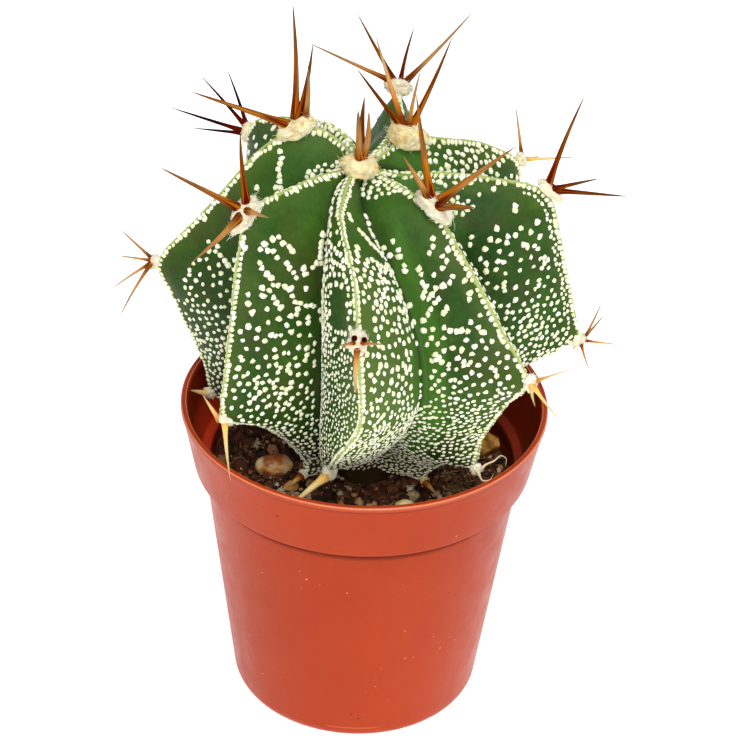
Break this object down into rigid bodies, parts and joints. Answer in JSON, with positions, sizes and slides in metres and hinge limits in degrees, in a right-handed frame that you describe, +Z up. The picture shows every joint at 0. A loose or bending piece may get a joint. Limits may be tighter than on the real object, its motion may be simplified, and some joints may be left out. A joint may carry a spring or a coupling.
{
  "type": "potted monks hood cactus",
  "caption": "Ribbed monk's hood cactus with woolly pads and amber spines, standing in dark potting mix in a small terracotta-coloured plastic nursery pot.",
  "frame": {"origin": "centre of the pot's flat foot, on the surface that it stands on", "axes": "+Z up along the pot's axis, -Y towards the front rib that faces the camera in the picture, +X to the right"},
  "size_m": [0.0748, 0.0687, 0.1114],
  "materials": {
    "pot_plastic": "satin",
    "potting_mix": "matte",
    "cactus_skin": "satin",
    "spine_and_felt": "satin",
    "warm_stone": "matte",
    "pale_stone": "matte"
  },
  "bodies": {
    "root": {"pot": "pot_plastic", "soil": "potting_mix", "cactus_body": "cactus_skin", "spines_a1": "spine_and_felt", "spines_a2": "spine_and_felt", "spines_a3": "spine_and_felt", "spines_b1": "spine_and_felt", "spines_b2": "spine_and_felt", "spines_b3": "spine_and_felt", "spines_c1": "spine_and_felt", "spines_c2": "spine_and_felt", "spines_c3": "spine_and_felt", "spines_d1": "spine_and_felt", "spines_d2": "spine_and_felt", "spines_d3": "spine_and_felt", "spines_e1": "spine_and_felt", "spines_e2": "spine_and_felt", "spines_e3": "spine_and_felt", "spines_f1": "spine_and_felt", "spines_f2": "spine_and_felt", "spines_f3": "spine_and_felt", "spines_f4": "spine_and_felt", "spines_g1": "spine_and_felt", "spines_g2": "spine_and_felt", "spines_g3": "spine_and_felt", "spines_h1": "spine_and_felt", "spines_h2": "spine_and_felt", "spines_h3": "spine_and_felt", "spines_h4": "spine_and_felt", "pebble_tan": "warm_stone", "pebble_brown": "warm_stone", "grit_amber": "warm_stone", "stone_olive": "warm_stone", "stone_cream": "pale_stone", "stone_grey": "pale_stone"}
  },
  "joints": []
}
